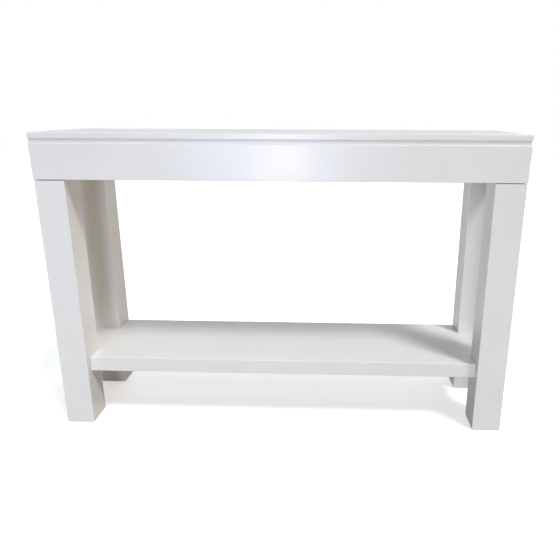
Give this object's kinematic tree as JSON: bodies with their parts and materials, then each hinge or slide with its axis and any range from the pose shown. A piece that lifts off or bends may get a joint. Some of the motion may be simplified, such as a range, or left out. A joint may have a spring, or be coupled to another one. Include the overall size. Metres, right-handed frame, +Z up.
{
  "type": "console table",
  "caption": "Narrow white lacquered console table with square legs, a plain apron under a thin top on a shadow gap, and a thick low shelf notched round the legs.",
  "frame": {"origin": "on the floor, at the centre of the table's footprint", "axes": "+X along the table's length to the right seen from the front, +Y from front to back, +Z up"},
  "size_m": [1.2, 0.3, 0.79],
  "materials": {
    "white_lacquer": "satin sprayed white lacquer over a smooth wood board",
    "gap_lacquer": "satin white lacquer, thinner in the groove",
    "rail_wood": "bare planed pine",
    "dowel_beech": "bare fluted beech",
    "zinc_steel": "bright zinc plate",
    "glide_nylon": "moulded off-white nylon"
  },
  "bodies": {
    "root": {"apron_back": "white_lacquer", "apron_front": "white_lacquer", "apron_left": "white_lacquer", "apron_right": "white_lacquer", "cross_rail_left": "rail_wood", "cross_rail_right": "rail_wood", "end_rail_left": "rail_wood", "end_rail_right": "rail_wood", "gap_strip_back": "gap_lacquer", "gap_strip_front": "gap_lacquer", "gap_strip_left": "gap_lacquer", "gap_strip_right": "gap_lacquer", "glide_back_left": "glide_nylon", "glide_back_right": "glide_nylon", "glide_front_left": "glide_nylon", "glide_front_right": "glide_nylon", "leg_back_left": "white_lacquer", "leg_back_right": "white_lacquer", "leg_bolt_back_left_lower": "zinc_steel", "leg_bolt_back_left_upper": "zinc_steel", "leg_bolt_back_right_lower": "zinc_steel", "leg_bolt_back_right_upper": "zinc_steel", "leg_bolt_front_left_lower": "zinc_steel", "leg_bolt_front_left_upper": "zinc_steel", "leg_bolt_front_right_lower": "zinc_steel", "leg_bolt_front_right_upper": "zinc_steel", "leg_front_left": "white_lacquer", "leg_front_right": "white_lacquer", "leg_nut_back_left_lower": "zinc_steel", "leg_nut_back_left_upper": "zinc_steel", "leg_nut_back_right_lower": "zinc_steel", "leg_nut_back_right_upper": "zinc_steel", "leg_nut_front_left_lower": "zinc_steel", "leg_nut_front_left_upper": "zinc_steel", "leg_nut_front_right_lower": "zinc_steel", "leg_nut_front_right_upper": "zinc_steel", "shelf_board": "white_lacquer", "shelf_dowel_back_left_inner": "dowel_beech", "shelf_dowel_back_left_outer": "dowel_beech", "shelf_dowel_back_right_inner": "dowel_beech", "shelf_dowel_back_right_outer": "dowel_beech", "shelf_dowel_front_left_inner": "dowel_beech", "shelf_dowel_front_left_outer": "dowel_beech", "shelf_dowel_front_right_inner": "dowel_beech", "shelf_dowel_front_right_outer": "dowel_beech", "top_board": "white_lacquer", "top_screw_cross_rail_left_back": "zinc_steel", "top_screw_cross_rail_left_front": "zinc_steel", "top_screw_cross_rail_right_back": "zinc_steel", "top_screw_cross_rail_right_front": "zinc_steel", "top_screw_end_rail_left_back": "zinc_steel", "top_screw_end_rail_left_front": "zinc_steel", "top_screw_end_rail_right_back": "zinc_steel", "top_screw_end_rail_right_front": "zinc_steel"}
  },
  "joints": []
}
